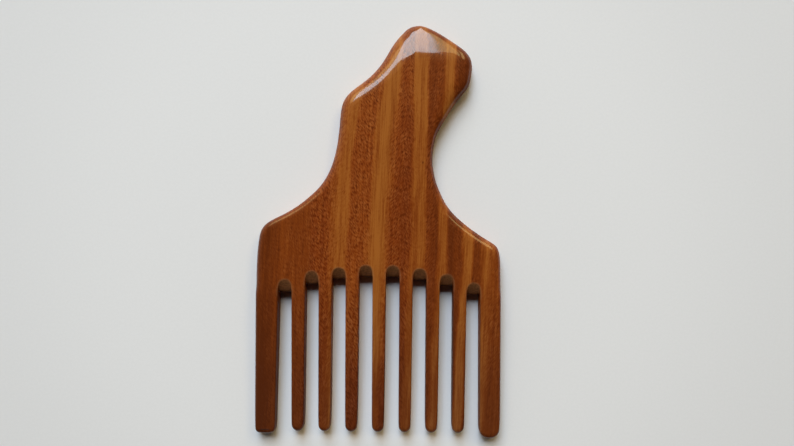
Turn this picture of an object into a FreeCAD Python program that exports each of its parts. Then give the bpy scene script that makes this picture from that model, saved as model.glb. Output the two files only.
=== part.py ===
import FreeCAD, Part
import math
import os

# A one-piece wooden afro pick that lies on its flat back: +Y runs to the handle's tip,
# the teeth point to -Y, and the front face is up. Lengths are millimetres.

# Board
thickness = 9.0
edge_round = 3.0

# Teeth and gaps, with widths taken across the comb at the roots
inner_teeth = 7
tooth_width = 5.65
tooth_tip_width = 4.8
gap_width = 5.65
gap_edge_round = 1.0
tooth_length = 65.15
tip_thickness = 7.0
root_arc_radius = 115.0

# End teeth: wider, longer, and shaped like a worn blade at the tip
left_end_width = 9.5
left_end_tip_width = 8.6
left_end_extra = 1.1
left_end_splay = 0.0
left_tip_curve = 5.3
left_tip_inset = 1.2
left_tip_corner = 2.4
right_end_width = 8.85
right_end_tip_width = 8.5
right_end_extra = 2.25
right_end_splay = 0.4
right_tip_curve = 7.0
right_tip_inset = 3.6
right_tip_corner = 3.4

# Gap roots: filed at a slant from both faces to a ridge inside the board
gouge_run = 5.1
gouge_arch_depth = 2.0
ridge_height_share = 0.5

# Neck and handle, with the neck's height taken from the middle roots
neck_width = 40.8
neck_shift = 2.0
neck_rise = 55.0
handle_length = 51.5
tip_reach = 34.45
lobe_overhang = 15.95
tip_roll_length = 13.0
tip_roll_drop = 2.0

# Outline, chosen by hand. Each row is a share across and a share up.
# Shoulders: across from the outer wall to the neck, up the neck's rise.
left_shoulder_shares = [
    (0.009, 0.175), (0.030, 0.292), (0.072, 0.370), (0.140, 0.408), (0.265, 0.448),
    (0.492, 0.526), (0.659, 0.606), (0.790, 0.685), (0.906, 0.800), (1.0, 1.0),
]
right_shoulder_shares = [
    (0.007, 0.085), (0.027, 0.201), (0.055, 0.239), (0.151, 0.277), (0.384, 0.354),
    (0.614, 0.448), (0.786, 0.545), (0.892, 0.648), (0.967, 0.750), (1.012, 0.885), (1.0, 1.0),
]
# Handle: across from the neck's left edge to the tip, up the handle's length.
left_handle_shares = [
    (0.030, 0.190), (0.040, 0.284), (0.068, 0.366), (0.161, 0.450), (0.324, 0.533),
    (0.460, 0.618), (0.556, 0.702), (0.660, 0.826), (0.750, 0.910), (0.852, 0.968),
]
# Handle: across from the tip to the lobe's outermost point.
brow_shares = [
    (0.152, 0.983), (0.381, 0.933), (0.614, 0.869), (0.843, 0.799), (0.969, 0.731), (1.0, 0.671),
]
# Handle: across from the neck's right edge to the lobe's outermost point.
under_lobe_shares = [
    (0.975, 0.583), (0.893, 0.494), (0.718, 0.426), (0.492, 0.331), (0.298, 0.230), (0.110, 0.125),
]

# Limits: how far cuts run past the wood, what counts as touching, how much of a wall a rounding takes
overrun_share = 2.0
nearly_share = 0.0001
round_limit_share = 0.45

# Lengths that follow from the sizes above
overrun = thickness * overrun_share
nearly = thickness * nearly_share
outer_round = min(edge_round, round_limit_share * min(tip_thickness, thickness - tip_roll_drop))
gap_round = min(gap_edge_round, round_limit_share * min(tooth_tip_width, tip_thickness))
pitch = tooth_width + gap_width
gap_count = inner_teeth + 1
teeth_span = inner_teeth * tooth_width + gap_count * gap_width
comb_width = left_end_width + teeth_span + right_end_width
left_wall = -comb_width / 2
right_wall = comb_width / 2
neck_left = neck_shift - neck_width / 2
neck_right = neck_shift + neck_width / 2
handle_top = neck_rise + handle_length
tip_across = neck_left + tip_reach
lobe_across = neck_right + lobe_overhang
gap_middles = [left_wall + left_end_width + gap_width / 2 + pitch * i for i in range(gap_count)]
arc_middle = (gap_middles[0] + gap_middles[-1]) / 2


def arc_drop(across):
    """How far the root arc lies towards the tips at a place across the comb."""
    offset = across - arc_middle
    return root_arc_radius - math.sqrt(root_arc_radius ** 2 - offset ** 2)


middle_drop = min(arc_drop(x) for x in gap_middles)
gap_ridges = [middle_drop - arc_drop(x) for x in gap_middles]


def point(x, y, z=0):
    return FreeCAD.Vector(x, y, z)


def between(start, end, share):
    return start + (end - start) * share


def curve_edge(points, start_turn, end_turn):
    """One smooth edge through the points, with its direction given at both ends."""
    curve = Part.BSplineCurve()
    curve.interpolate(Points=points, InitialTangent=start_turn, FinalTangent=end_turn, Scale=False)
    return curve.toShape()


def line_edge(start, end):
    return Part.LineSegment(start, end).toShape()


def is_upright(edge):
    """True for an edge that only runs through the board's thickness."""
    return max(edge.BoundBox.XLength, edge.BoundBox.YLength) < nearly


def left_outline():
    """The left side, from the end tooth's root up to the handle's tip."""
    points = [point(left_wall, gap_ridges[0])]
    for across, up in left_shoulder_shares:
        points.append(point(between(left_wall, neck_left, across), neck_rise * up))
    for across, up in left_handle_shares:
        points.append(point(between(neck_left, tip_across, across), neck_rise + handle_length * up))
    points.append(point(tip_across, handle_top))
    return curve_edge(points, point(0, 1), point(1, 0))


def right_outline():
    """The right side, from the handle's tip round the lobe and down to the end tooth's root."""
    points = [point(tip_across, handle_top)]
    for across, up in brow_shares:
        points.append(point(between(tip_across, lobe_across, across), neck_rise + handle_length * up))
    for across, up in under_lobe_shares:
        points.append(point(between(neck_right, lobe_across, across), neck_rise + handle_length * up))
    for across, up in reversed(right_shoulder_shares):
        points.append(point(between(right_wall, neck_right, across), neck_rise * up))
    points.append(point(right_wall, gap_ridges[-1]))
    return curve_edge(points, point(1, 0), point(0, -1))


def root_corners():
    """Corners along the roots, right to left: each tooth leaves at the lower of its two ridges."""
    corners = [point(right_wall, gap_ridges[-1])]
    for i in reversed(range(gap_count)):
        right_edge = gap_middles[i] + gap_width / 2
        left_edge = gap_middles[i] - gap_width / 2
        tooth_root = gap_ridges[i] if i == 0 else min(gap_ridges[i - 1], gap_ridges[i])
        corners.append(point(right_edge, corners[-1].y))
        corners.append(point(right_edge, gap_ridges[i]))
        corners.append(point(left_edge, gap_ridges[i]))
        corners.append(point(left_edge, tooth_root))
    corners.append(point(left_wall, gap_ridges[0]))
    return corners


def root_edges():
    corners = root_corners()
    pairs = zip(corners, corners[1:])
    return [line_edge(a, b) for a, b in pairs if a.distanceToPoint(b) > nearly]


def gouge(i, face_height):
    """The filed hollow at one gap, from the ridge out to the front or the back face."""
    ridge = point(gap_middles[i], gap_ridges[i], thickness * ridge_height_share)
    along = point(0, gouge_run, face_height - ridge.z)
    length = along.Length
    along.normalize()
    across = point(1, 0)
    inward = point(0, abs(along.z), -along.y * math.copysign(1, along.z))
    arch_centre = ridge - inward * gouge_arch_depth
    half_gap = gap_width / 2
    wide_point = arch_centre + across * half_gap
    ellipse = Part.Ellipse(wide_point, ridge, arch_centre)
    arch = Part.Arc(ellipse, 0, math.pi).toShape()
    right_foot = arch.valueAt(arch.FirstParameter)
    left_foot = arch.valueAt(arch.LastParameter)
    right_out = right_foot - inward * overrun
    left_out = left_foot - inward * overrun
    sides = Part.makePolygon([left_foot, left_out, right_out, right_foot])
    profile = Part.Face(Part.Wire([arch] + sides.Edges))
    profile.translate(along * -overrun)
    return profile.extrude(along * (length + overrun * 2))


def tip_roll():
    """What is taken off the front where it rolls down to the handle's tip."""
    radius = (tip_roll_length ** 2 + tip_roll_drop ** 2) / (2 * tip_roll_drop)
    start = handle_top - tip_roll_length
    width = comb_width + overrun * 2
    corner = point(-width / 2, start, thickness - radius)
    block = Part.makeBox(width, tip_roll_length + overrun, radius + overrun, corner)
    log = Part.makeCylinder(radius, width, corner, point(1, 0))
    return block.cut(log)


def gap_face_edges(shape, i):
    """Edges where gap i and its two filed hollows meet the front and back faces."""
    left_edge = gap_middles[i] - gap_width / 2 - nearly
    right_edge = gap_middles[i] + gap_width / 2 + nearly
    chosen = []
    for edge in shape.Edges:
        box = edge.BoundBox
        in_gap = box.XMin > left_edge and box.XMax < right_edge
        on_face = box.ZMax < nearly or box.ZMin > thickness - nearly
        if in_gap and on_face:
            chosen.append(edge)
    return chosen


def outer_edges(board):
    """Front and back edges of the two curved walls that follow the outline."""
    walls = [face for face in board.Faces if face.Surface.TypeId == "Part::GeomSurfaceOfExtrusion"]
    return [edge for wall in walls for edge in wall.Edges if not is_upright(edge)]


def upper_board():
    """Handle and spine in one: outline, tip roll, rounded outer edge and filed gap roots."""
    outline = Part.Wire([left_outline(), right_outline()] + root_edges())
    board = Part.Face(outline).extrude(point(0, 0, thickness))
    board = board.cut(tip_roll())
    board = board.makeFillet(outer_round, outer_edges(board))
    for i in range(gap_count):
        board = board.cut(gouge(i, thickness))
        board = board.cut(gouge(i, 0))
    board = board.removeSplitter()
    eased = [edge for i in range(gap_count) for edge in gap_face_edges(board, i)]
    return board.makeFillet(gap_round, eased)


def tooth_blank(outline, root, tip):
    """A tooth's outline made as thick as the board at its root and thinner towards its tip."""
    blank = Part.Face(Part.Wire(outline)).extrude(point(0, 0, thickness))
    far_left = left_wall - overrun
    corners = [
        point(far_left, root, thickness), point(far_left, tip, tip_thickness),
        point(far_left, tip, thickness + overrun), point(far_left, root, thickness + overrun),
    ]
    end_face = Part.Face(Part.makePolygon(corners + corners[:1]))
    return blank.cut(end_face.extrude(point(comb_width + overrun * 2, 0)))


def ease(blank, radius, sides):
    """Round a tooth's front and back edges that follow the given sides of its outline."""
    chosen = []
    for edge in blank.Edges:
        middle = edge.valueAt((edge.FirstParameter + edge.LastParameter) / 2)
        foot = Part.Vertex(point(middle.x, middle.y))
        if not is_upright(edge) and any(foot.distToShape(side)[0] < nearly for side in sides):
            chosen.append(edge)
    return blank.makeFillet(radius, chosen)


def inner_tooth(i):
    """Tooth i, between gap i and gap i + 1, with a fully round tip."""
    root = min(gap_ridges[i], gap_ridges[i + 1])
    middle = (gap_middles[i] + gap_middles[i + 1]) / 2
    half_root = tooth_width / 2
    half_tip = tooth_tip_width / 2
    tip = -tooth_length
    left_root = point(middle - half_root, root)
    right_root = point(middle + half_root, root)
    left_tip = point(middle - half_tip, tip + half_tip)
    right_tip = point(middle + half_tip, tip + half_tip)
    nose = Part.Arc(left_tip, point(middle, tip), right_tip).toShape()
    sides = [line_edge(left_root, left_tip), nose, line_edge(right_tip, right_root)]
    blank = tooth_blank(sides + [line_edge(right_root, left_root)], root, tip)
    return ease(blank, gap_round, sides)


def end_tooth(wall, inward, root, width, tip_width, extra, splay, curve, inset, corner):
    """An end tooth, drawn from its outer wall inwards: inward is 1 at the left, -1 at the right."""
    tip = -tooth_length - extra
    outer_tip = wall - inward * splay
    inner_tip = outer_tip + inward * tip_width
    outer_root = point(wall, root)
    inner_root = point(wall + inward * width, root)
    curve_start = point(between(outer_tip, wall, curve / (root - tip)), tip + curve)
    curve_end = point(outer_tip + inward * inset, tip)
    corner_start = point(inner_tip - inward * corner, tip)
    corner_end = point(inner_tip, tip + corner)
    corner_cut = corner * (1 - math.cos(math.pi / 4))
    corner_middle = point(inner_tip - inward * corner_cut, tip + corner_cut)
    sweep_radius = (curve ** 2 + inset ** 2) / (2 * inset)
    sweep_turn = math.asin(curve / sweep_radius) / 2
    sweep_middle = point(curve_start.x + inward * sweep_radius * (1 - math.cos(sweep_turn)),
                         curve_start.y - sweep_radius * math.sin(sweep_turn))
    sweep = Part.Arc(curve_start, sweep_middle, curve_end).toShape()
    turn = Part.Arc(corner_start, corner_middle, corner_end).toShape()
    outer = [line_edge(outer_root, curve_start), sweep]
    inner = [line_edge(curve_end, corner_start), turn, line_edge(corner_end, inner_root)]
    blank = tooth_blank(outer + inner + [line_edge(inner_root, outer_root)], root, tip)
    return ease(ease(blank, outer_round, outer), gap_round, inner)


def slab(y_low, y_high):
    """A block as wide as the comb that covers the board between two heights."""
    corner = point(left_wall - overrun, y_low, -overrun)
    return Part.makeBox(comb_width + overrun * 2, y_high - y_low, thickness + overrun * 2, corner)


board = upper_board()
solids = {
    "handle": board.common(slab(neck_rise, handle_top + overrun)),
    "spine": board.common(slab(gap_ridges[0] - overrun, neck_rise)),
    "left_end_tooth": end_tooth(
        left_wall, 1, gap_ridges[0], left_end_width, left_end_tip_width, left_end_extra,
        left_end_splay, left_tip_curve, left_tip_inset, left_tip_corner),
    "right_end_tooth": end_tooth(
        right_wall, -1, gap_ridges[-1], right_end_width, right_end_tip_width, right_end_extra,
        right_end_splay, right_tip_curve, right_tip_inset, right_tip_corner),
}
for i in range(inner_teeth):
    solids[f"tooth_{i + 1}"] = inner_tooth(i)

# The origin is at the middle of the comb's length and width, on its flat back.
low_end = -tooth_length - max(left_end_extra, right_end_extra)
middle = point((right_end_splay - left_end_splay) / 2, (handle_top + low_end) / 2)
os.makedirs("parts", exist_ok=True)
for name, solid in solids.items():
    solid.translate(middle * -1)
    solid.exportStep(f"parts/{name}.step")
    print(name, solid.isValid(), len(solid.Solids), round(solid.Volume, 1))
whole = Part.makeCompound(list(solids.values())).optimalBoundingBox(False)
print("overall", round(whole.XLength, 2), round(whole.YLength, 2), round(whole.ZLength, 2))
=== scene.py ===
# %% [markdown]
# # A wooden afro pick, carved from one board
# The pick is sawn, filed and polished out of a single board of ribbon-striped hardwood. It has no joints, so
# the lesson is about one flowing form: a handle, a spine with filed gap roots, and nine teeth.
# It could be carved with booleans, but those leave ragged edges that catch the light. Here a single control
# cage is laid out like a maker's drawing, rolled over at its edges, mirrored and subdivided. Only then is it
# sawn into the eleven regions that the frame names, so that no seam shows between them.

# %% Load the frame
import math

import bmesh
import bpy
import numpy as np
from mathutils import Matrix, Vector


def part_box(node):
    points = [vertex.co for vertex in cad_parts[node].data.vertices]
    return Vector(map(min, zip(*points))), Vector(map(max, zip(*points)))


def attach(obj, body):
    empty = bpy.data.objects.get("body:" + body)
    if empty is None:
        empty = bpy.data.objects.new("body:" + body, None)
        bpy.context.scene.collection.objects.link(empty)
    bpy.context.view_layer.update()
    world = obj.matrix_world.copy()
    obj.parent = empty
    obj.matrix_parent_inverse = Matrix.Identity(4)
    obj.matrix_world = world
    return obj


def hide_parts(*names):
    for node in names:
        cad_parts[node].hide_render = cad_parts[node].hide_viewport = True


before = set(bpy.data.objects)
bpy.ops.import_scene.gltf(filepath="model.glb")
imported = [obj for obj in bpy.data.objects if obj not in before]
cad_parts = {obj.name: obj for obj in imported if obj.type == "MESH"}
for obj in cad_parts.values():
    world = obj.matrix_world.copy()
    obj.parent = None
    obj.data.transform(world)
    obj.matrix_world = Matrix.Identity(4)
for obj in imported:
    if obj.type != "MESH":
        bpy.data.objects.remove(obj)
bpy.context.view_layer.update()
print("frame nodes:", sorted(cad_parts))

# %% [markdown]
# ## Sizes from the frame
# A maker measures the blank before cutting. Every size that the frame already holds is read from it: the
# board's thickness, the sides of each gap and the height of each root. Nothing here is typed in again.

# %% Read the sizes
mm = 0.001
weld = 0.001 * mm
inner_names = [f"tooth_{i}" for i in range(1, 8)]
tooth_names = ["left_end_tooth"] + inner_names + ["right_end_tooth"]
boxes = {name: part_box(name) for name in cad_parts}
thickness = boxes["spine"][1].z
half_thickness = thickness / 2
neck_level = boxes["handle"][0].y
handle_top = boxes["handle"][1].y
tooth_roots = [boxes[name][1].y for name in tooth_names]
neighbours = list(zip(tooth_names, tooth_names[1:]))
gap_sides = [(boxes[a][1].x, boxes[b][0].x) for a, b in neighbours]
gap_ridges = [max(pair) for pair in zip(tooth_roots, tooth_roots[1:])]
gap_count = len(gap_sides)
print("gaps:", gap_count, "thickness mm:", round(thickness / mm, 2))

# %% [markdown]
# ## The outline
# The board's outline is what the bandsaw followed. It could be drawn again by hand, but slicing the frame's
# solids at half their thickness gives the same line exactly. `bisect_plane` leaves the cut edges, and a row
# of levels turns them into one path: up the left side, over the tip, and down the right side.

# %% Slice the frame for its outline
slice_height = half_thickness + 0.05 * mm


def section(name):
    """The cut edges of one node at half its thickness, each as x, y, x, y."""
    cut = bmesh.new()
    cut.from_mesh(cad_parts[name].data)
    bmesh.ops.remove_doubles(cut, verts=cut.verts, dist=weld)
    everything = cut.verts[:] + cut.edges[:] + cut.faces[:]
    made = bmesh.ops.bisect_plane(cut, geom=everything, plane_co=(0, 0, slice_height), plane_no=(0, 0, 1))
    edges = [e for e in made["geom_cut"] if isinstance(e, bmesh.types.BMEdge)]
    pairs = np.array([[*e.verts[0].co.xy, *e.verts[1].co.xy] for e in edges])
    cut.free()
    return pairs


def across(edges, level):
    """The lowest and highest x where the cut edges cross a level, or come nearest to it."""
    x0, y0, x1, y1 = edges.T
    level = min(max(level, y0.min() + weld), y0.max() - weld)
    crossing = ((y0 - level) * (y1 - level) <= 0) & (abs(y1 - y0) > 0)
    x = x0 + (level - y0) / np.where(crossing, y1 - y0, 1) * (x1 - x0)
    return x[crossing].min(), x[crossing].max()


sections = {name: section(name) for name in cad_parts}
print("cut edges:", {name: len(edges) for name, edges in sections.items()})

# %% [markdown]
# ## Filed gap roots
# Each gap ends in a hollow that a half-round file cut at a slant from both faces, so the front shows an arch
# and, deeper in, a straight ridge. These few sizes say how long, deep and blunt that hollow is. The maker's
# file went a little further in the first two.

# %% The file's arch
file_run = 5.1 * mm
arch_depth = 3.0 * mm
arch_power = 2.5
ridge_blunt = 0.25 * mm
gap_ease = 0.8 * mm
arch_ease = 0.45 * mm
arch_lifts = [0.5 * mm, 0.7 * mm] + [0] * (gap_count - 2)
spring = file_run - arch_depth


def arch_height(share):
    """The height of an arch at a share of its half width, where its top is one."""
    return (1 - abs(share) ** arch_power) ** (1 / arch_power)


def arch(gap, share):
    """The sharp edge of a hollow on the front face, and the way from the wood into the gap there."""
    left, right = gap_sides[gap]
    half = (right - left) / 2
    rise = arch_height(share)
    depth = arch_depth + arch_lifts[gap]
    edge = Vector(((left + right) / 2 + half * share, gap_ridges[gap] + spring + depth * rise))
    aside = math.copysign(abs(share) ** (arch_power - 1), share)
    into_gap = -Vector((aside / half, rise ** (arch_power - 1) / depth)).normalized()
    return edge, into_gap


print("arch apex above the ridge, mm:", round(file_run / mm, 2))

# %% [markdown]
# ## The outer path
# The path is dense, so a point and its outward direction can be taken anywhere along it. The grid's top
# corners sit at the handle's highest point and at the lobe's widest one, where the outline turns most.

# %% Walk round the outline
path_steps = 600
look_along = 0.8 * mm
below_top = 0.002 * mm
outer_edges = np.vstack([sections[n] for n in ("handle", "spine", "left_end_tooth", "right_end_tooth")])
path_start = gap_ridges[0] + spring
swing = np.sin(np.linspace(0, math.pi / 2, path_steps))
levels = path_start + (handle_top - below_top - path_start) * swing
left_side = [(across(outer_edges, y)[0], y) for y in levels]
right_side = [(across(outer_edges, y)[1], y) for y in levels[::-1]]
path = np.array(left_side + right_side)
walked = np.concatenate([[0], np.cumsum(np.hypot(*np.diff(path, axis=0).T))])
tip_at = walked[path_steps]
on_handle = path[:, 1] > neck_level
lobe_at = walked[np.argmax(np.where(on_handle, path[:, 0], -1))]
path_end = walked[-1]


def path_point(length):
    return Vector((np.interp(length, walked, path[:, 0]), np.interp(length, walked, path[:, 1])))


def path_out(length):
    """The outward direction, from a short look along the path."""
    low, high = max(0, length - look_along), min(path_end, length + look_along)
    way = path_point(high) - path_point(low)
    return Vector((-way.y, way.x)).normalized()


print("path mm:", round(path_end / mm, 1))
print("tip and lobe along it, mm:", round(tip_at / mm, 1), round(lobe_at / mm, 1))

# %% [markdown]
# ## Rolled edges
# Hand sanding rounds an edge more where the palm rubs it. On the real pick the upper left of the handle is
# almost a half round, while the brow keeps a tight edge. So the roll is a curve along the path, with a few
# given stations: a share of the way along each side, how far in the roll starts on the face, how deep it
# ends on the wall, both in millimetres, and how round it is: near one is a round, near a third a chamfer.
# The outline is also a little fuller just before the tip than the frame's arcs are.

# %% Edge roll along the path
left_roll = [
    (0.0, 3.0, 3.0, 0.9), (0.25, 2.6, 2.6, 0.9), (0.35, 3.0, 2.8, 0.9), (0.5, 4.0, 3.6, 0.9),
    (0.6, 4.8, 4.0, 0.88), (0.68, 5.4, 4.0, 0.86), (0.76, 6.2, 4.0, 0.85), (0.82, 7.2, 4.1, 0.86),
    (0.88, 9.0, 4.3, 0.88), (0.94, 9.8, 4.3, 0.9), (0.98, 6.5, 3.6, 0.9), (1.0, 1.8, 1.8, 0.9)]
right_roll = [
    (0.0, 3.0, 3.0, 0.9), (0.22, 4.2, 3.2, 0.85), (0.45, 4.2, 3.2, 0.85), (0.65, 3.8, 3.4, 0.9),
    (0.85, 6.5, 4.3, 0.9), (1.0, 6.0, 4.3, 0.9)]
brow_roll = [(0.0, 1.8, 1.8, 0.9), (0.3, 2.6, 2.4, 0.9), (0.7, 3.4, 3.2, 0.9), (1.0, 6.0, 4.3, 0.9)]


def at_station(stations, share):
    """The roll's reach over the face, its depth down the wall and its roundness, at a share of the way."""
    shares, reaches, depths, rounds = zip(*stations)
    reach = float(np.interp(share, shares, reaches)) * mm
    return reach, float(np.interp(share, shares, depths)) * mm, float(np.interp(share, shares, rounds))


peak_swell = 0.8 * mm
swell_before_tip = 4.0 * mm
swell_reach = 5.0 * mm


def swollen_point(length):
    """A point of the path, which sanding left a little fuller just before the tip."""
    away = (length - tip_at + swell_before_tip) / swell_reach
    return path_point(length) + path_out(length) * peak_swell * max(0, 1 - away ** 2) ** 2


print("roll just before the tip, reach, depth and roundness:", at_station(left_roll, 0.94))

# %% [markdown]
# ## Columns and rows
# The cage is a grid. Its columns run up through the teeth and gaps into the handle, as the wood's fibres do,
# and its rows run across. A tooth has three columns, an end tooth four and a gap six, and each column line
# remembers which tooth or gap it belongs to.

# %% Lay out the columns
gap_shares = [-0.82, -0.45, 0.0, 0.45, 0.82]
columns = []
for tooth, name in enumerate(tooth_names):
    lines = 4 if name in inner_names else 5
    columns += [("tooth", tooth, j / (lines - 1)) for j in range(lines)]
    if tooth < gap_count:
        columns += [("gap", tooth, share) for share in gap_shares]
last_column = len(columns) - 1
drops = [drop * mm for drop in (0.6, 2.4, 5.5, 10, 16, 23, 30, 37, 43, 48, 52)]
tip_rows = 3
root_row = len(drops) + tip_rows
board_rows = 56
last_row = root_row + board_rows


def tooth_columns(tooth):
    """The column lines of one tooth, left to right."""
    return [c for c, (kind, index, _) in enumerate(columns) if kind == "tooth" and index == tooth]


print("columns:", last_column, "rows:", last_row)

# %% [markdown]
# ## Rims
# Every point on the sheet's border is a rim: a sharp edge that gets rolled over. A rim is seven points in
# depth: the sheet's border, three along the roll, the roll's end on the wall, and two more down to the
# board's middle. On a wall they go straight down. In a filed hollow they follow the file to the ridge.

# %% Rims in depth
loops = 7
plain_round = 0.9
ease_power = 6


def roll(start, corner, end, roundness, share):
    """A point on the rounded corner between two edges, as a weighted curve."""
    near, mid, far = (1 - share) ** 2, 2 * roundness * share * (1 - share), share ** 2
    return (start * near + corner * mid + end * far) / (near + mid + far)


def rolled(start, corner, end, lower, middle, roundness=plain_round):
    curve = [roll(start, corner, end, roundness, q) for q in (0.25, 0.5, 0.75)]
    return [start] + curve + [end, lower, middle]


def lifted(point, height):
    return Vector((point.x, point.y, height))


def wall_rim(edge, out, reach, depth, roundness=plain_round):
    """A rim over a straight wall."""
    foot = half_thickness - depth
    start = lifted(edge - out * reach, half_thickness)
    corner = lifted(edge, half_thickness)
    return rolled(start, corner, lifted(edge, foot), lifted(edge, foot / 2), lifted(edge, 0), roundness)


def filed_rim(gap, share):
    """A rim over a filed hollow, which slants down to the ridge."""
    edge, into_gap = arch(gap, share)
    ease = arch_ease + (gap_ease - arch_ease) * share ** ease_power
    slant = Vector((0, -file_run, -half_thickness)).normalized()
    start = lifted(edge - into_gap * ease, half_thickness)
    corner = lifted(edge, half_thickness)
    ridge = Vector((edge.x, gap_ridges[gap]))
    flare = half_thickness * arch_depth / file_run * (1 - arch_height(share))
    return rolled(start, corner, corner + slant * ease, lifted(ridge, ridge_blunt + flare), lifted(ridge, 0))


print("points in a rim:", len(filed_rim(0, 0.0)))

# %% [markdown]
# ## Teeth
# A tooth is a tapered bar with a worn tip. Its sides are read from the frame's outline level by level. Its
# nose is an oval of a given length, and a power that squares its shoulders, so the round inner tips and the
# squarer end tips come from one rule. Noses are rolled more than sides, because tips wear first. The tips
# reach a little further than the frame's plain bars, and most of them are a little wider.

# %% Rims of one tooth
nose_ease = 2.6 * mm
tip_stretch = 1.0 * mm
right_end_stretch = 0.8 * mm
tip_widen = 0.35 * mm
end_ease = 1.8 * mm
nose_fan = 52
shoulder_degrees = {1: 68, 2: 83}
nose_shapes = {name: (3.6 * mm, 2.1) for name in inner_names}
nose_shapes["left_end_tooth"] = (3.2 * mm, 3.0)
nose_shapes["right_end_tooth"] = (5.0 * mm, 2.3)
rims = {}


def side_out(edges, level, which):
    """The outward direction of a tooth's side, from its outline a little above and below."""
    above = level + look_along
    below = level - look_along
    way = Vector((across(edges, above)[which] - across(edges, below)[which], above - below))
    out = Vector((-way.y, way.x)) if which == 0 else Vector((way.y, -way.x))
    return out.normalized()


def shape_nose(name, first, count, widen):
    """A rounded tip, an oval with more or less square shoulders, over a tooth's columns and tip rows."""
    edges = sections[name]
    length, power = nose_shapes[name]
    tip = edges[:, 1::2].min()
    left, right = across(edges, tip + length)
    half = (right + widen - left) / 2
    fan = np.linspace(-nose_fan, nose_fan, count)
    spots = [(first + j, 0, degrees) for j, degrees in enumerate(fan)]
    for row, degrees in shoulder_degrees.items():
        spots += [(first, row, -degrees), (first + count - 1, row, degrees)]
    for column, row, degrees in spots:
        aside, down = math.sin(math.radians(degrees)), math.cos(math.radians(degrees))
        x_share = math.copysign(abs(aside) ** (2 / power), aside)
        y_share = down ** (2 / power)
        point = Vector((left + half * (1 + x_share), tip + length * (1 - y_share)))
        out_x = math.copysign(abs(x_share) ** (power - 1), aside) / half
        out_y = -y_share ** (power - 1) / length
        ease = gap_ease + (nose_ease - gap_ease) * down
        rims[column, row] = wall_rim(point, Vector((out_x, out_y)).normalized(), ease, ease)


def add_tooth(tooth):
    name = tooth_names[tooth]
    edges = sections[name]
    own = tooth_columns(tooth)
    first, count = own[0], len(own)
    widen = 0 if name == "left_end_tooth" else tip_widen
    for which, column in ((0, first), (1, first + count - 1)):
        gap = min(max(tooth - 1 + which, 0), gap_count - 1)
        ease = end_ease if column in (0, last_column) else gap_ease
        for k, drop in enumerate(drops):
            level = gap_ridges[gap] - drop
            side = Vector((across(edges, level)[which] + which * widen * drop / drops[-1], level))
            rims[column, root_row - 1 - k] = wall_rim(side, side_out(edges, level, which), ease, ease)
    shape_nose(name, first, count, widen)
    stretch = Vector((0, right_end_stretch if name == "right_end_tooth" else tip_stretch, 0))
    for column in range(first, first + count):
        for row in range(tip_rows):
            if (column, row) in rims:
                rims[column, row] = [point - stretch for point in rims[column, row]]


for tooth in range(len(tooth_names)):
    add_tooth(tooth)
print("tooth rims:", len(rims))

# %% [markdown]
# ## The board's border
# The rest of the border is the path round the shoulders and handle, and the arches of the filed hollows.
# The columns at a tooth's flat edges belong to the hollow beside them, so a hollow spans seven column lines.

# %% Rims of the board
for column, (kind, index, share) in enumerate(columns):
    if kind == "gap":
        rims[column, root_row] = filed_rim(index, share)
    elif share == 0 and index > 0:
        rims[column, root_row] = filed_rim(index - 1, 1.0)
    elif share == 1 and index < gap_count:
        rims[column, root_row] = filed_rim(index, -1.0)
for k in range(board_rows + 1):
    share = k / board_rows
    left_at = tip_at * share
    right_at = path_end - (path_end - lobe_at) * share
    rims[0, root_row + k] = wall_rim(
        swollen_point(left_at), path_out(left_at), *at_station(left_roll, share))
    rims[last_column, root_row + k] = wall_rim(
        path_point(right_at), path_out(right_at), *at_station(right_roll, share))


def flat_place(column, row):
    return rims[column, row][0]


root_left, root_right = flat_place(0, root_row), flat_place(last_column, root_row)


def tooth_place(column, row):
    """A point inside a tooth, between the flat edges of its two sides."""
    _, tooth, share = columns[column]
    own = tooth_columns(tooth)
    return flat_place(own[0], row).lerp(flat_place(own[-1], row), share)


root_places = {}
for column in range(last_column + 1):
    on_rim = (column, root_row) in rims
    root_places[column] = flat_place(column, root_row) if on_rim else tooth_place(column, root_row)
root_width = root_right.x - root_left.x
column_shares = [(root_places[c].x - root_left.x) / root_width for c in range(last_column + 1)]
for column in range(1, last_column):
    brow_at = tip_at + (lobe_at - tip_at) * column_shares[column]
    rims[column, last_row] = wall_rim(
        swollen_point(brow_at), path_out(brow_at), *at_station(brow_roll, column_shares[column]))
print("all rims:", len(rims))

# %% [markdown]
# ## The sheet
# `create_grid` makes the flat sheet, and each of its points moves to its place on the drawing. Rows near the
# roots rise over the arches and fade to straight lines further up, and the last rows bend to the brow.
# Faces that lie in the gaps are deleted.

# %% Spread the grid
arc_fade_rows = 20
arch_fade_rows = 5
brow_fade_rows = 14
root_fade_power = 1.5
brow_fade_power = 2


def arc_height(column):
    """How far the root arc has risen at a column, above the end gaps."""
    kind, index, share = columns[column]
    if kind == "gap":
        return gap_ridges[index] - gap_ridges[0]
    before, after = max(index - 1, 0), min(index, gap_count - 1)
    return gap_ridges[before] * (1 - share) + gap_ridges[after] * share - gap_ridges[0]


def fade(steps, rows, power):
    """One at the first step, falling to nothing over some rows."""
    return max(0, 1 - steps / rows) ** power


def board_place(column, row):
    """A point of the sheet above the roots."""
    step = row - root_row
    share = column_shares[column]
    place = flat_place(0, row).lerp(flat_place(last_column, row), share)
    arc = arc_height(column)
    arch_rise = root_places[column].y - root_left.y - arc
    arc_part = arc * fade(step, arc_fade_rows, root_fade_power)
    place.y += arc_part + arch_rise * fade(step, arch_fade_rows, root_fade_power)
    straight = flat_place(0, last_row).lerp(flat_place(last_column, last_row), share)
    brow = flat_place(column, last_row) - straight
    return place + brow * fade(board_rows - step, brow_fade_rows, brow_fade_power)


def sheet_place(column, row):
    if (column, row) in rims:
        return flat_place(column, row)
    return tooth_place(column, row) if row <= root_row else board_place(column, row)


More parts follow.
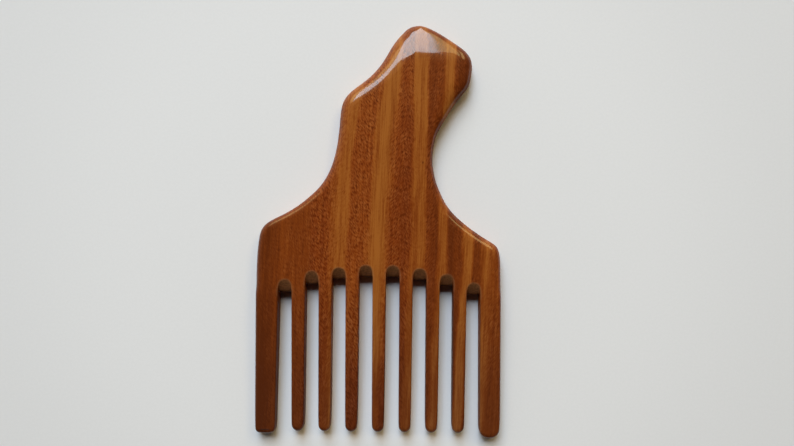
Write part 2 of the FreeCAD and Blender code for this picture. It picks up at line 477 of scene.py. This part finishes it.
def grid_spot(vert):
    """The column and row of a point of the new grid, which spans minus one to one both ways."""
    return round((vert.co.x + 1) / 2 * last_column), round((vert.co.y + 1) / 2 * last_row)


cage = bmesh.new()
column_of = cage.verts.layers.int.new("column")
row_of = cage.verts.layers.int.new("row")
bmesh.ops.create_grid(cage, x_segments=last_column, y_segments=last_row, size=1)
gap_faces = []
for face in cage.faces:
    spots = [grid_spot(v) for v in face.verts]
    in_gap = any(columns[c][0] == "gap" for c, _ in spots)
    if in_gap and min(r for _, r in spots) < root_row:
        gap_faces.append(face)
bmesh.ops.delete(cage, geom=gap_faces, context="FACES")
for vert in cage.verts:
    vert[column_of], vert[row_of] = grid_spot(vert)
for vert in cage.verts:
    vert.co = sheet_place(vert[column_of], vert[row_of])
print("sheet faces:", len(cage.faces))

# %% [markdown]
# ## Over the edge
# The border is extruded six times with `extrude_edge_only`. New points keep the column and row numbers of
# the points that they came from, so each one finds its place in its rim. Two soft masks are written on the
# way: where the file cut across the fibres, and where a painted highlight makes the thin root edges and the
# ridges paler.

# %% Extrude the rims and mirror the half board
ridge_lift = 1.4 * mm
ridge_painted_highlight = 0.8
filed = cage.verts.layers.float.new("filed")
# A mask for a painted highlight on the thin edges at the roots and along the ridges.
painted_edge_highlight = cage.verts.layers.float.new("painted_edge_highlight")
painted_highlight_by_loop = [0.15, 0.7, 1.0, 0.7, 0.2, 0.1, 0.0]
border = [e for e in cage.edges if e.is_boundary]
for loop in range(1, loops):
    made = bmesh.ops.extrude_edge_only(cage, edges=border)["geom"]
    border = [e for e in made if isinstance(e, bmesh.types.BMEdge) and e.is_boundary]
    for vert in [v for v in made if isinstance(v, bmesh.types.BMVert)]:
        column, row = vert[column_of], vert[row_of]
        vert.co = rims[column, row][loop]
        outside = column in (0, last_column) or row == last_row
        in_hollow = row == root_row and columns[column][0] == "gap"
        at_root = row >= root_row - 1 and not outside
        # Painted highlight along the roll of the thin root edges.
        vert[painted_edge_highlight] = painted_highlight_by_loop[loop] if at_root else 0
        if in_hollow:
            vert[filed] = min(1, max(0, (loop - 2) / 2))
            # The ridge gets a painted highlight too.
            vert[painted_edge_highlight] = ridge_painted_highlight if loop == loops - 1 else vert[painted_edge_highlight]
bmesh.ops.mirror(cage, geom=cage.verts[:] + cage.edges[:] + cage.faces[:], axis="Z", merge_dist=weld)
for vert in cage.verts:
    if vert[row_of] == root_row and columns[vert[column_of]][0] == "gap":
        vert.co.z += ridge_lift * (1 - (vert.co.z / half_thickness) ** 2)
bmesh.ops.translate(cage, verts=cage.verts, vec=(0, 0, half_thickness))
bmesh.ops.recalc_face_normals(cage, faces=cage.faces)
open_edges = [e for e in cage.edges if not e.is_manifold]
print("cage faces:", len(cage.faces), "open edges:", len(open_edges))

# %% [markdown]
# ## Tip roll and tooth taper
# The front rolls down towards the handle's tip, earlier on the lobe's side, and the teeth thin towards
# theirs. Both are one move: a point sinks by an amount that depends on where it is on the pick, and by its
# own share of the height, so the flat back stays flat.

# %% Sink the front
tip_roll_length = 16.1 * mm
tip_roll_drop = 2.99 * mm
tip_roll_bow = 3.0
tip_roll_from = 14.0 * mm
tooth_drop = 2.4 * mm
roll_radius = (tip_roll_length ** 2 + tip_roll_drop ** 2) / (2 * tip_roll_drop)
longest_tip = min(boxes[name][0].y for name in inner_names)


def sink(x, y):
    past = y + tip_roll_bow * max(0, x - tip_roll_from) ** 2 - (handle_top - tip_roll_length)
    if y > neck_level and past > 0:
        return roll_radius - math.sqrt(roll_radius ** 2 - past ** 2)
    below = gap_ridges[0] - y
    return tooth_drop * max(0, below) / (gap_ridges[0] - longest_tip)


for vert in cage.verts:
    vert.co.z -= sink(vert.co.x, vert.co.y) * vert.co.z / thickness
print("sunk at the tip mm:", round(sink(0, handle_top) / mm, 2))

# %% [markdown]
# ## Subdivide
# One level of Subdivision Surface turns the cage into the sanded form. It is applied on a helper object,
# because the result is sawn into pieces next.

# %% Smooth the cage
cage_mesh = bpy.data.meshes.new("pick_cage")
cage.to_mesh(cage_mesh)
cage.free()
helper = bpy.data.objects.new("pick_cage", cage_mesh)
bpy.context.scene.collection.objects.link(helper)
smoother = helper.modifiers.new("smooth", "SUBSURF")
smoother.levels = 1
smoother.render_levels = 1
bpy.context.view_layer.update()
smooth_mesh = bpy.data.meshes.new_from_object(helper.evaluated_get(bpy.context.evaluated_depsgraph_get()))
bpy.data.objects.remove(helper)
print("smooth faces:", len(smooth_mesh.polygons))

# %% [markdown]
# ## Saw into regions
# The frame names eleven regions of the board. `bisect_plane` cuts across the neck, and across each tooth
# just below its root, where the tooth is a plain bar. Normals are stored before the cut, so light runs over
# the joins without a line, and each region is closed by a flat cap that no one sees.

# %% Cut lines and stored normals
saw_below = 1.0 * mm
saw_margin = 0.05 * mm
saw_reach = 4.0 * mm
board = bmesh.new()
board.from_mesh(smooth_mesh)
bpy.data.meshes.remove(smooth_mesh)


def with_parts(faces):
    edges = {e for f in faces for e in f.edges}
    verts = {v for f in faces for v in f.verts}
    return list(faces) + list(edges) + list(verts)


def tooth_span(tooth):
    """The x range of one tooth at its root."""
    left = gap_sides[tooth - 1][1] if tooth else -math.inf
    right = gap_sides[tooth][0] if tooth < gap_count else math.inf
    return left - saw_margin, right + saw_margin


def saw_across(faces, level):
    """Cut some faces of the board along a level."""
    bmesh.ops.bisect_plane(
        board, geom=with_parts(faces), plane_co=(0, level, 0), plane_no=(0, 1, 0), dist=weld)


saw_levels = [root - saw_below for root in tooth_roots]
saw_across(board.faces[:], neck_level)
for tooth, level in enumerate(saw_levels):
    left, right = tooth_span(tooth)
    near = []
    for face in board.faces:
        centre = face.calc_center_median()
        if left <= centre.x <= right and abs(centre.y - level) < saw_reach:
            near.append(face)
    saw_across(near, level)
board.normal_update()
kept_normal = board.verts.layers.float_vector.new("kept_normal")
for vert in board.verts:
    vert[kept_normal] = vert.normal
region_names = ["handle", "spine"] + tooth_names
region_of = board.faces.layers.int.new("region")
for face in board.faces:
    centre = face.calc_center_median()
    face.smooth = True
    face[region_of] = 0 if centre.y > neck_level else 1
    for tooth, level in enumerate(saw_levels):
        left, right = tooth_span(tooth)
        if left <= centre.x <= right and centre.y < level:
            face[region_of] = 2 + tooth
print("sawn faces:", len(board.faces))

# %% Close each region and make its piece
def make_piece(region):
    """One closed piece of the board, with the whole board's normals."""
    name = region_names[region]
    part = board.copy()
    own_region = part.faces.layers.int["region"]
    bmesh.ops.delete(part, geom=[f for f in part.faces if f[own_region] != region], context="FACES")
    rim_edges = [e for e in part.edges if e.is_boundary]
    for cap in bmesh.ops.holes_fill(part, edges=rim_edges, sides=0)["faces"]:
        cap[own_region] = -1
        cap.smooth = False
    bmesh.ops.recalc_face_normals(part, faces=part.faces)
    mesh = bpy.data.meshes.new("carved_" + name)
    part.to_mesh(mesh)
    part.free()
    normals = []
    for polygon in mesh.polygons:
        capped = mesh.attributes["region"].data[polygon.index].value == -1
        for vertex in polygon.vertices:
            normals.append(polygon.normal if capped else mesh.attributes["kept_normal"].data[vertex].vector)
    mesh.normals_split_custom_set([tuple(n) for n in normals])
    for spare in ("region", "kept_normal", "column", "row"):
        if spare in mesh.attributes:
            mesh.attributes.remove(mesh.attributes[spare])
    piece = bpy.data.objects.new("carved_" + name, mesh)
    bpy.context.scene.collection.objects.link(piece)
    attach(piece, "root")
    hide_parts(name)
    return piece


pieces = [make_piece(region) for region in range(len(region_names))]
board.free()
print("pieces:", {piece.name: len(piece.data.polygons) for piece in pieces})

# %% [markdown]
# ## Building shaders with a few helpers
# Node trees read badly as long lists of links. These small helpers add a node, set its inputs from numbers
# or from other sockets, and return its output, so each line below reads like a formula.

# %% Shader helpers
def fill(socket, value, tree):
    if isinstance(value, bpy.types.NodeSocket):
        tree.links.new(value, socket)
    else:
        socket.default_value = value


def add(tree, kind, output, inputs, **settings):
    """A node with its settings and inputs, and one of its outputs."""
    made = tree.nodes.new(kind)
    for key, value in settings.items():
        setattr(made, key, value)
    for key, value in inputs.items():
        fill(made.inputs[key], value, tree)
    return made.outputs[output]


def calc(tree, operation, first, second=0.0):
    return add(tree, "ShaderNodeMath", 0, {0: first, 1: second}, operation=operation)


def between(tree, value, low, high, to_low=0.0, to_high=1.0):
    """A smooth step from one range to another."""
    inputs = {"Value": value, "From Min": low, "From Max": high, "To Min": to_low, "To Max": to_high}
    return add(tree, "ShaderNodeMapRange", 0, inputs, interpolation_type="SMOOTHSTEP")


def zone(tree, value, low, rise, fall, high):
    """A soft mask that comes up between two values and goes down between two more."""
    up = between(tree, value, low, rise)
    down = between(tree, value, fall, high, 1.0, 0.0)
    return calc(tree, "MULTIPLY", up, down)


def grey(tree, value):
    return add(tree, "ShaderNodeCombineColor", 0, {0: value, 1: value, 2: value})


def blend(tree, factor, first, second, kind="MIX"):
    made = tree.nodes.new("ShaderNodeMix")
    made.data_type = "RGBA"
    made.blend_type = kind
    colours = [s for s in made.inputs if s.type == "RGBA"]
    fill(made.inputs["Factor"], factor, tree)
    fill(colours[0], first, tree)
    fill(colours[1], second, tree)
    return next(s for s in made.outputs if s.type == "RGBA")


def noise(tree, place, scale, detail=2.0, rough=0.5):
    inputs = {"Vector": place, "Scale": scale, "Detail": detail, "Roughness": rough}
    return add(tree, "ShaderNodeTexNoise", "Fac", inputs)


def stretched(tree, place, turn, size):
    """A place turned about the face's upright and divided by a grain size in millimetres."""
    turned = add(tree, "ShaderNodeVectorRotate", 0, {"Vector": place, "Angle": math.radians(turn)},
                 rotation_type="Z_AXIS")
    return add(tree, "ShaderNodeVectorMath", 0, {0: turned, 1: size}, operation="DIVIDE")


def new_group(name, inputs, outputs):
    """A shader node group with its sockets, ready for nodes."""
    group = bpy.data.node_groups.new(name, "ShaderNodeTree")
    for label, kind in inputs:
        group.interface.new_socket(label, in_out="INPUT", socket_type=kind)
    for label, kind in outputs:
        group.interface.new_socket(label, in_out="OUTPUT", socket_type=kind)
    entry = group.nodes.new("NodeGroupInput")
    leave = group.nodes.new("NodeGroupOutput")
    return group, entry, leave


print("shader helpers ready")

# %% [markdown]
# ## Ribbon figure
# The board is quarter sawn from timber whose fibres lean one way and then the other as the tree grew. That
# shows as stripes along the board: pale ones, where fibres lie flat, and dark flecked ones, where they dive
# into the face. A wood texture node would repeat its stripes, so the stripes are listed one by one. Each
# stop is a place across the board in millimetres, a tone, an amount of fleck and which way the flecks lean,
# and one colour ramp holds them all.

# %% Ribbon layout
ribbon_span = 52.0
ribbons = [
    (-52.0, 0.03, 0.3, 1), (-46.5, 0.11, 0.3, 1), (-42.0, 0.35, 0.35, 1), (-29.6, 0.45, 0.45, 1),
    (-28.4, 0.32, 1.0, 1), (-22.5, 0.39, 1.0, 1), (-19.3, 0.65, 0.5, 0), (-17.0, 0.82, 0.3, 0),
    (-13.9, 0.87, 0.3, 0), (-12.8, 0.56, 0.9, 1), (-5.6, 0.52, 0.9, 1), (-3.8, 0.82, 0.3, 1),
    (-1.0, 0.94, 0.15, 0), (1.8, 0.87, 0.2, 0), (4.2, 0.55, 0.8, 0), (5.4, 0.37, 0.9, 0),
    (12.6, 0.31, 0.8, 1), (14.0, 0.66, 0.3, 1), (18.6, 0.80, 0.2, 0),
    (19.7, 0.35, 0.6, 0), (23.6, 0.18, 0.6, 0), (25.6, 0.86, 0.2, 1),
    (28.2, 0.84, 0.2, 1), (29.2, 0.22, 0.5, 1), (34.3, 0.12, 0.5, 1), (35.6, 0.81, 0.2, 0),
    (38.2, 0.74, 0.2, 0), (39.6, 0.16, 0.4, 0), (42.5, 0.26, 0.4, 0), (44.8, 0.80, 0.2, 0),
    (47.2, 0.72, 0.3, 0), (49.4, 0.48, 0.4, 0)]


def set_ribbons(ramp):
    """Fill a new ramp, which starts with a first and a last stop."""
    for at, *values in ribbons[1:-1]:
        ramp.elements.new((at + ribbon_span) / (2 * ribbon_span)).color = (*values, 1)
    ramp.elements[0].color = (*ribbons[0][1:], 1)
    ramp.elements[-1].position = (ribbons[-1][0] + ribbon_span) / (2 * ribbon_span)
    ramp.elements[-1].color = (*ribbons[-1][1:], 1)


print("ribbon stops:", len(ribbons))

# %% [markdown]
# ## Where a stripe runs
# The stripes run down the board with a slight lean. On the left half of the handle they bend over to the
# right, and on the right half they stay nearly upright. Noise lets them wander by a millimetre or so. The
# group turns a place into one number, a place across the board, and looks the stripe up.

# %% Stripe place
bend_from = 12.0
bend_rate = 0.0013
lean_rate = 0.04
lobe_lean_from = 5.0
lobe_lean_rate = 0.035
slow_size, slow_wander = (7.0, 30.0, 9.0), 3.0
quick_size, quick_wander = (1.2, 6.0, 2.0), 1.2
figure, entry, leave = new_group("ribbon_figure", [("Place", "NodeSocketVector")], [
    ("Tone", "NodeSocketFloat"), ("Fleck", "NodeSocketFloat"), ("Flecked", "NodeSocketFloat"),
    ("Grain", "NodeSocketFloat")])
place = entry.outputs["Place"]
x = add(figure, "ShaderNodeSeparateXYZ", "X", {0: place})
y = x.node.outputs["Y"]


def beyond(value, start):
    """How far a value is past a start, and nothing before it."""
    return calc(figure, "MAXIMUM", calc(figure, "SUBTRACT", value, start), 0.0)


def streaks(turn, size, detail):
    """Noise with a grain of a given size in millimetres, turned by some degrees."""
    return noise(figure, stretched(figure, place, turn, size), 1.0, detail)


def swayed(value, reach):
    """Noise about nought, as a distance in millimetres."""
    return calc(figure, "MULTIPLY", calc(figure, "SUBTRACT", value, 0.5), reach)


bend = beyond(y, bend_from)
bend = calc(figure, "MULTIPLY", calc(figure, "MULTIPLY", bend, bend), bend_rate)
left_lean = calc(figure, "ADD", calc(figure, "MULTIPLY", y, lean_rate), bend)
right_lean = calc(figure, "MULTIPLY", calc(figure, "MINIMUM", y, 0.0), lean_rate)
lobe_lean = calc(figure, "MULTIPLY", beyond(y, lobe_lean_from), lobe_lean_rate)
lobe_lean = calc(figure, "MULTIPLY", lobe_lean, between(figure, x, 20.0, 26.0))
right_lean = calc(figure, "ADD", right_lean, lobe_lean)
upright = between(figure, x, 5.0, 15.0)
lean = add(figure, "ShaderNodeMix", 0, {"Factor": upright, 2: left_lean, 3: right_lean}, data_type="FLOAT")
slow = swayed(streaks(0, slow_size, 1.0), slow_wander)
quick = swayed(streaks(0, quick_size, 2.0), quick_wander)
wander = calc(figure, "ADD", slow, quick)
stripe_at = calc(figure, "ADD", calc(figure, "SUBTRACT", x, lean), wander)
ramp_range = {"Value": stripe_at, "From Min": -ribbon_span, "From Max": ribbon_span}
ramp_at = add(figure, "ShaderNodeMapRange", 0, ramp_range)
stripe = add(figure, "ShaderNodeValToRGB", "Color", {"Fac": ramp_at})
set_ribbons(stripe.node.color_ramp)
tone, fleck_amount, slant = add(figure, "ShaderNodeSeparateColor", "Red", {0: stripe}).node.outputs
print("stripe stops:", len(stripe.node.color_ramp.elements))

# %% [markdown]
# ## Stripes that change along the board
# A stripe isn't one tone from end to end. The middle and end teeth darken towards their tips, the others a
# little below their roots, and two stripes change on the way up the handle. A zone across the board picks
# the stripe, and a smooth step along it says how much.

# %% Paler and darker stretches
low_tone = 0.34
low_down = between(figure, y, -66.0, -42.0, 1.0, 0.0)
mid_teeth = zone(figure, x, -19.0, -14.0, 3.0, 8.0)
right_teeth = between(figure, x, 40.0, 43.0, 0.0, 0.25)
left_teeth = between(figure, x, -26.0, -17.0, 0.35, 0.0)
end_teeth = calc(figure, "ADD", right_teeth, left_teeth)
darker_teeth = calc(figure, "MULTIPLY", low_down, calc(figure, "ADD", mid_teeth, end_teeth))
tone = calc(figure, "SUBTRACT", tone, calc(figure, "MULTIPLY", darker_teeth, low_tone))
other_teeth = calc(figure, "SUBTRACT", 1.0, mid_teeth)
other_teeth = calc(figure, "MULTIPLY", other_teeth, between(figure, x, 12.0, 18.0, 1.0, 0.4))
other_teeth = calc(figure, "MULTIPLY", other_teeth, between(figure, y, -40.0, -15.0, 0.11, 0.0))
tone = calc(figure, "SUBTRACT", tone, other_teeth)
lobe_stripe = zone(figure, x, 22.0, 24.5, 30.0, 33.0)
lobe_stripe = calc(figure, "MULTIPLY", lobe_stripe, between(figure, y, 8.0, 45.0, 0.20, -0.10))
tone = calc(figure, "SUBTRACT", tone, lobe_stripe)
tip_stripe = zone(figure, x, 9.0, 13.0, 18.5, 20.5)
tip_stripe = calc(figure, "MULTIPLY", tip_stripe, between(figure, y, 70.0, 75.0, 1.0, 0.0))
tip_stripe = calc(figure, "MULTIPLY", tip_stripe, between(figure, y, 42.0, 60.0, 0.0, 0.18))
tone = calc(figure, "ADD", tone, tip_stripe)
print("nodes for the stripes:", len(figure.nodes))

# %% [markdown]
# ## Flecks and grain lines
# In the dark stripes the cut fibres show as short slanted flecks, a fraction of a millimetre wide and about
# two long. Noise squeezed across and stretched along a slanted line looks the same. Two slants are made and
# the ramp's third value picks one. Pale stripes get long, fine, straight lines instead.

# %% Flecks and grain
fleck_size = (0.26, 1.8, 1.0)
fleck_slant = 30
patch_size = (3.0, 6.0, 3.0)
fine_size = (0.30, 14.0, 0.6)
broad_size = (1.4, 45.0, 2.0)
grain_turn = 2
fleck_right = streaks(fleck_slant, fleck_size, 1.0)
fleck_left = streaks(-fleck_slant, fleck_size, 1.0)
fleck = add(figure, "ShaderNodeMix", 0, {"Factor": slant, 2: fleck_right, 3: fleck_left}, data_type="FLOAT")
fleck = calc(figure, "MULTIPLY", between(figure, fleck, 0.36, 0.58, -0.9, 0.6), fleck_amount)
patch = between(figure, streaks(0, patch_size, 1.0), 0.3, 0.7, 0.6, 1.1)
fleck = calc(figure, "MULTIPLY", fleck, patch)
fleck = calc(figure, "MULTIPLY", fleck, between(figure, y, -62.0, -28.0, 0.75, 1.0))
fine = between(figure, streaks(grain_turn, fine_size, 2.0), 0.3, 0.7, -0.5, 0.5)
broad = between(figure, streaks(grain_turn, broad_size, 2.0), 0.3, 0.7, -0.5, 0.5)
grain = calc(figure, "ADD", fine, broad)
for label, value in (("Tone", tone), ("Fleck", fleck), ("Flecked", fleck_amount), ("Grain", grain)):
    figure.links.new(value, leave.inputs[label])
print("figure nodes:", len(figure.nodes))

# %% [markdown]
# ## The colour of the wood
# The figure's tone picks a colour on a ramp from dark to pale, pulled about by the flecks and the grain
# lines. A fleck that is cut short scatters light, so its bright side is a duller pink, and flecked stripes
# are redder. The teeth darken towards their tips.

# %% Wood tones
dark_wood = (0.115, 0.0225, 0.0040, 1)
mid_wood = (0.217, 0.0450, 0.0060, 1)
pale_wood = (0.359, 0.1120, 0.0190, 1)
fleck_glint = (0.300, 0.130, 0.070, 1)
plain_tint = (1.0, 1.0, 1.0, 1)
flecked_tint = (1.02, 0.79, 0.62, 1)
tip_tint = (0.76, 0.86, 1.4)
tip_fade = (-86.0, -8.0)
fleck_strength = 0.66
wood = bpy.data.materials.new("ribbon_wood")
wood.use_nodes = True
tree = wood.node_tree
object_place = add(tree, "ShaderNodeTexCoord", "Object", {})
place = add(tree, "ShaderNodeVectorMath", 0, {0: object_place, "Scale": 1 / mm}, operation="SCALE")
figure_node = tree.nodes.new("ShaderNodeGroup")
figure_node.node_tree = figure
tree.links.new(place, figure_node.inputs["Place"])
wood_tone, wood_fleck, wood_flecked, wood_grain = figure_node.outputs
fleck_tone = calc(tree, "MULTIPLY", wood_fleck, fleck_strength)
grain_share = between(tree, wood_tone, 0.5, 0.8, 0.22, 0.34)
grain_tone = calc(tree, "MULTIPLY", wood_grain, grain_share)
shade = calc(tree, "ADD", wood_tone, calc(tree, "ADD", fleck_tone, grain_tone))
tones = add(tree, "ShaderNodeValToRGB", "Color", {"Fac": shade})
tones.node.color_ramp.elements[0].color = dark_wood
tones.node.color_ramp.elements[1].color = pale_wood
tones.node.color_ramp.elements.new(0.5).color = mid_wood
glint = between(tree, wood_fleck, 0.0, 0.6, 0.0, 0.2)
tones = blend(tree, glint, tones, fleck_glint)
tint = blend(tree, wood_flecked, plain_tint, flecked_tint)
tones = blend(tree, 1.0, tones, tint, "MULTIPLY")
along = add(tree, "ShaderNodeSeparateXYZ", "Y", {0: place})
tip_parts = [between(tree, along, *tip_fade, at_tip, 1.0) for at_tip in tip_tint]
tip_colour = add(tree, "ShaderNodeCombineColor", 0, dict(enumerate(tip_parts)))
colour = blend(tree, 1.0, tones, tip_colour, "MULTIPLY")
print("nodes for the tones:", len(tree.nodes))

# %% [markdown]
# ## Hollows, painted edge highlights and knots
# The filed hollows were left as cut: dull end grain with open pores. A painted highlight makes the thin
# edges at the roots and the ridges paler. The masks that were written on the cage say where, and two tiny
# knots are placed at listed spots.

# %% Hollows, painted edge highlights and knots
end_grain = (0.172, 0.062, 0.024, 1)
# A pale colour for the painted edge highlight, and how much of it shows.
painted_highlight_colour = (0.360, 0.180, 0.080, 1)
painted_highlight_strength = 0.22
knots = [((17.7, 28.7, 9.0), dark_wood), ((-45.0, -69.0, 8.6), pale_wood)]
filed_mask = add(tree, "ShaderNodeAttribute", "Fac", {}, attribute_name="filed")
painted_highlight_mask = add(tree, "ShaderNodeAttribute", "Fac", {}, attribute_name="painted_edge_highlight")
pores = noise(tree, place, 1.6, 3.0, 0.7)
pore_colour = grey(tree, between(tree, pores, 0.3, 0.7, 0.6, 1.4))
colour = blend(tree, filed_mask, colour, blend(tree, 1.0, pore_colour, end_grain, "MULTIPLY"))
# Painted highlight: the thin root edges and the ridges are blended towards a pale colour.
colour = blend(tree, calc(tree, "MULTIPLY", painted_highlight_mask, painted_highlight_strength), colour, painted_highlight_colour)
for spot, spot_colour in knots:
    away = add(tree, "ShaderNodeVectorMath", "Value", {0: place, 1: spot}, operation="DISTANCE")
    colour = blend(tree, between(tree, away, 0.2, 0.7, 0.7, 0.0), colour, spot_colour)
shader = tree.nodes["Principled BSDF"]
fill(shader.inputs["Base Color"], colour, tree)
print("knots:", len(knots))

# %% [markdown]
# ## The polish
# Oil and wax leave a smooth clear skin over the fibres, so the Principled shader gets a coat for the crisp
# window reflection. The fibres below it shine too, but broadly and with their own golden tint, so the base
# reflection is rough and tinted. Upright walls got less polish and the hollows none, so there the coat
# fades and the base is rougher. The face's own direction says which is a wall.

# %% Polish and relief
fibre_shine = (1.0, 0.70, 0.30, 1)
polished_rough, wall_rough, filed_rough = 0.30, 0.60, 0.75
coat_strength = 0.74
face_way = add(tree, "ShaderNodeTexCoord", "Normal", {})
face_up = calc(tree, "ABSOLUTE", add(tree, "ShaderNodeSeparateXYZ", "Z", {0: face_way}))
not_filed = between(tree, filed_mask, 0.0, 0.6, 1.0, 0.0)
polish = calc(tree, "MULTIPLY", between(tree, face_up, 0.32, 0.75), not_filed)
on_walls = between(tree, polish, 0.0, 1.0, wall_rough, polished_rough)
in_hollows = between(tree, filed_mask, 0.0, 1.0, polished_rough, filed_rough)
fill(shader.inputs["Roughness"], calc(tree, "MAXIMUM", on_walls, in_hollows), tree)
fill(shader.inputs["Specular IOR Level"], 0.16, tree)
fill(shader.inputs["Specular Tint"], fibre_shine, tree)
fill(shader.inputs["Coat Weight"], calc(tree, "MULTIPLY", polish, coat_strength), tree)
fill(shader.inputs["Coat Roughness"], 0.07, tree)
relief = calc(tree, "ADD", wood_grain, wood_fleck)
bumped = add(tree, "ShaderNodeBump", 0, {"Height": relief, "Strength": 0.25, "Distance": 0.01 * mm})
fill(shader.inputs["Normal"], bumped, tree)
for piece in pieces:
    piece.data.materials.append(wood)
print("wood nodes:", len(tree.nodes))

# %% [markdown]
# ## Floor and light
# The pick lies on a pale matt sheet under one tall window, high and a little to the left beyond the handle.
# A rectangle that lies along X mirrors in the tip's roll as a bright patch with straight sides. Its daylight
# is a little blue, and the lit curtains beside it are warm: they give the rolled edges their golden rims.
# The ceiling and the side beyond the tooth tips stay dark, which keeps the flat face clear and the gap roots
# deep. In the photo the shade between the inner teeth is paler than these lights give, so the sheet is made
# a little paler there.

# %% Floor
floor_reach = 8
open_paper = (0.808, 0.768, 0.796, 1)
# A paler colour of the sheet, used as painted light.
painted_light_paper = (0.955, 0.885, 0.895, 1)
floor_mesh = bpy.data.meshes.new("floor")
floor_shape = bmesh.new()
bmesh.ops.create_grid(floor_shape, x_segments=1, y_segments=1, size=floor_reach)
floor_shape.to_mesh(floor_mesh)
floor_shape.free()
floor = bpy.data.objects.new("floor", floor_mesh)
bpy.context.scene.collection.objects.link(floor)
paper = bpy.data.materials.new("pale_floor")
paper.use_nodes = True
paper_tree = paper.node_tree
paper_shader = paper_tree.nodes["Principled BSDF"]
paper_place = add(paper_tree, "ShaderNodeTexCoord", "Object", {})
paper_x = add(paper_tree, "ShaderNodeSeparateXYZ", "X", {0: paper_place})
paper_y = paper_x.node.outputs["Y"]
from_middle = add(paper_tree, "ShaderNodeVectorMath", "Value", {0: paper_place}, operation="LENGTH")
# Painted shade: the sheet grows a little darker between 10 and 20 cm from the middle. The mottle is the
# sheet's own tone.
painted_falloff = between(paper_tree, from_middle, 0.10, 0.20, 1.0, 0.93)
mottle = between(paper_tree, noise(paper_tree, paper_place, 900.0, 3.0), 0.3, 0.7, -0.008, 0.008)
falloff_and_mottle = grey(paper_tree, calc(paper_tree, "ADD", painted_falloff, mottle))
# Painted light: the sheet is paler between the inner teeth, where their shade falls.
below_roots = zone(paper_tree, paper_y, -0.094, -0.088, -0.080, -0.020)
inner_gaps = zone(paper_tree, paper_x, -0.050, -0.031, 0.020, 0.050)
painted_gap_light = calc(paper_tree, "MULTIPLY", below_roots, inner_gaps)
paper_with_painted_light = blend(paper_tree, painted_gap_light, open_paper, painted_light_paper)
paper_colour = blend(paper_tree, 1.0, falloff_and_mottle, paper_with_painted_light, "MULTIPLY")
fill(paper_shader.inputs["Base Color"], paper_colour, paper_tree)
fill(paper_shader.inputs["Roughness"], 0.8, paper_tree)
fill(paper_shader.inputs["Specular IOR Level"], 0.1, paper_tree)
floor_mesh.materials.append(paper)
print("floor nodes:", len(paper_tree.nodes))

# %% Window and its curtains
def add_panel(name, middle, width, height, watts, colour):
    """A soft rectangle of light that lies along X and faces the pick."""
    data = bpy.data.lights.new(name, "AREA")
    data.shape = "RECTANGLE"
    data.size = width
    data.size_y = height
    data.energy = watts
    data.color = colour
    panel = bpy.data.objects.new(name, data)
    panel.location = middle
    panel.rotation_euler = Vector((0, middle[1], middle[2])).to_track_quat("Z", "Y").to_euler()
    bpy.context.scene.collection.objects.link(panel)


window_colour = (0.71, 0.885, 1.0)
curtain_colour = (1.0, 0.78, 0.34)
panel_y, panel_z = 2.808, 2.619
curtain_y, curtain_z = panel_y - 0.22, panel_z + 0.24
curtain_height = 1.95
curtains = [(-2.07, 0.90, 20.0), (0.64, 0.675, 17.0), (2.0, 1.2, 36.0)]
add_panel("window", (-0.615, panel_y, panel_z), 1.83, 2.948, 172.0, window_colour)
for number, (across_x, width, watts) in enumerate(curtains):
    middle = (across_x, curtain_y, curtain_z)
    add_panel(f"curtain_{number}", middle, width, curtain_height, watts, curtain_colour)
print("panels:", 1 + len(curtains))

# %% Room light
room_strength = 0.65
least_light = 0.004
room_colour = (1.0, 0.90, 0.74, 1)
room_side = (-0.4, 0.917, 0.0)
world = bpy.data.worlds.new("room")
world.use_nodes = True
room = world.node_tree
way = add(room, "ShaderNodeTexCoord", "Generated", {})
upward = add(room, "ShaderNodeSeparateXYZ", "Z", {0: way})
low = calc(room, "SUBTRACT", 1.0, calc(room, "MULTIPLY", upward, upward))
facing = add(room, "ShaderNodeVectorMath", "Value", {0: way, 1: room_side}, operation="DOT_PRODUCT")
facing = calc(room, "POWER", between(room, facing, -1.0, 1.0), 2.0)
room_light = calc(room, "MULTIPLY", calc(room, "MULTIPLY", low, facing), room_strength)
background = room.nodes["Background"]
fill(background.inputs["Color"], room_colour, room)
fill(background.inputs["Strength"], calc(room, "ADD", room_light, least_light), room)
bpy.context.scene.world = world
bpy.context.scene.view_settings.view_transform = "Standard"
print("room lit")

# %% [markdown]
# ## Camera
# The pick is seen from almost straight above, and so close that the teeth show their walls on the sides that
# face the middle. Blender gives a lens in millimetres for a sensor of a given width, so the focal length in
# pixels is divided by the picture's width and multiplied by the sensor's.

# %% Camera
image_width = 794
focal_pixels = 660.3
camera_place = (7.23 * mm, 3.24 * mm, 285 * mm)
camera_turn = math.radians(0.8)
camera_data = bpy.data.cameras.new("camera")
camera_data.sensor_width = 36
camera_data.lens = focal_pixels / image_width * camera_data.sensor_width
camera_data.clip_start = 0.01
camera = bpy.data.objects.new("camera", camera_data)
camera.location = camera_place
camera.rotation_euler = (0, 0, camera_turn)
bpy.context.scene.collection.objects.link(camera)
bpy.context.scene.camera = camera
print("camera height mm:", round(camera.location.z / mm, 1))
